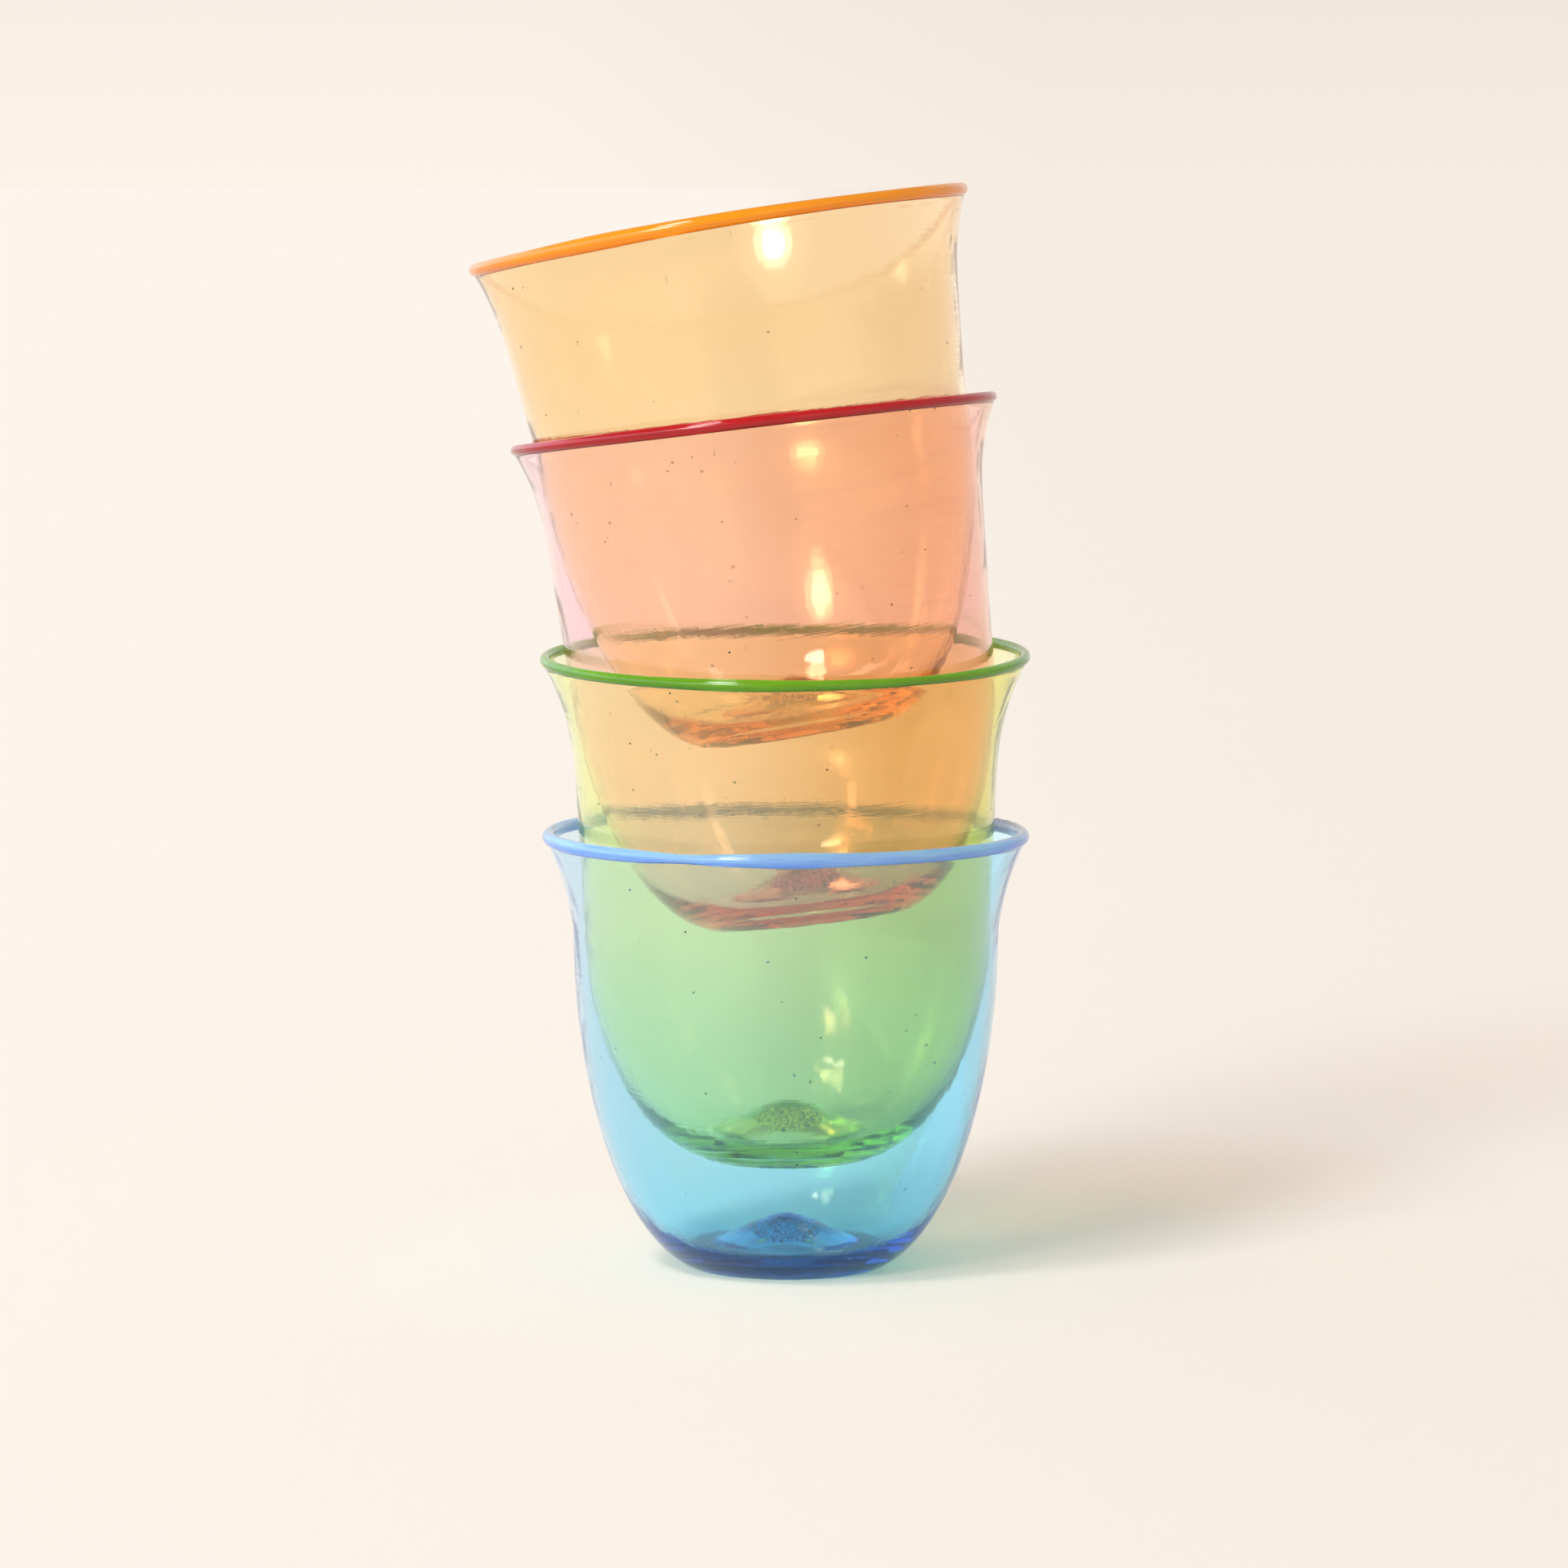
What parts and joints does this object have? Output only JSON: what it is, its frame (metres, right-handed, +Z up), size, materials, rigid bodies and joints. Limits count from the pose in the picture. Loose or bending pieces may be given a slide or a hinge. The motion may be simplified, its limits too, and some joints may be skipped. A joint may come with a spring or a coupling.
{
  "type": "stack of drinking tumblers",
  "caption": "Hand-blown glass tumblers in different tints nested one inside the other in a leaning tower, each with a flared lip, a coloured glass thread on the rim and a pushed-up base.",
  "frame": {"origin": "centre of the flat foot ring of the lowest (blue) tumbler, on the surface it stands on", "axes": "+Z up along the blue tumbler's axis; the upper tumblers' lips lean towards -X; -Y is the front"},
  "size_m": [0.1043, 0.0952, 0.2024],
  "materials": {
    "blue_glass": "fire-polished blown glass, clear tint",
    "blue_wrap_glass": "fire-polished, deeply coloured clear glass",
    "blue_scar_glass": "rough broken glass",
    "green_glass": "fire-polished blown glass, clear tint",
    "green_wrap_glass": "fire-polished, deeply coloured clear glass",
    "green_scar_glass": "rough broken glass",
    "pink_glass": "fire-polished blown glass, clear tint",
    "pink_wrap_glass": "fire-polished, deeply coloured clear glass",
    "pink_scar_glass": "rough broken glass",
    "amber_glass": "fire-polished blown glass, clear tint",
    "amber_wrap_glass": "fire-polished, deeply coloured clear glass",
    "amber_scar_glass": "rough broken glass"
  },
  "bodies": {
    "blue_cup": {"blue_bowl": "blue_glass", "blue_lip_wrap": "blue_wrap_glass", "blue_pontil_scar": "blue_scar_glass"},
    "green_cup": {"green_bowl": "green_glass", "green_lip_wrap": "green_wrap_glass", "green_pontil_scar": "green_scar_glass"},
    "pink_cup": {"pink_bowl": "pink_glass", "pink_lip_wrap": "pink_wrap_glass", "pink_pontil_scar": "pink_scar_glass"},
    "amber_cup": {"amber_bowl": "amber_glass", "amber_lip_wrap": "amber_wrap_glass", "amber_pontil_scar": "amber_scar_glass"}
  },
  "joints": [
    {"name": "green_lift", "type": "slide", "parent": "blue_cup", "child": "green_cup", "axis": [0, 0, 1], "range_m": [0, 0.07]},
    {"name": "pink_lift", "type": "slide", "parent": "green_cup", "child": "pink_cup", "axis": [0, 0, 1], "range_m": [0, 0.06]},
    {"name": "amber_lift", "type": "slide", "parent": "pink_cup", "child": "amber_cup", "axis": [0, 0, 1], "range_m": [0, 0.075]}
  ]
}
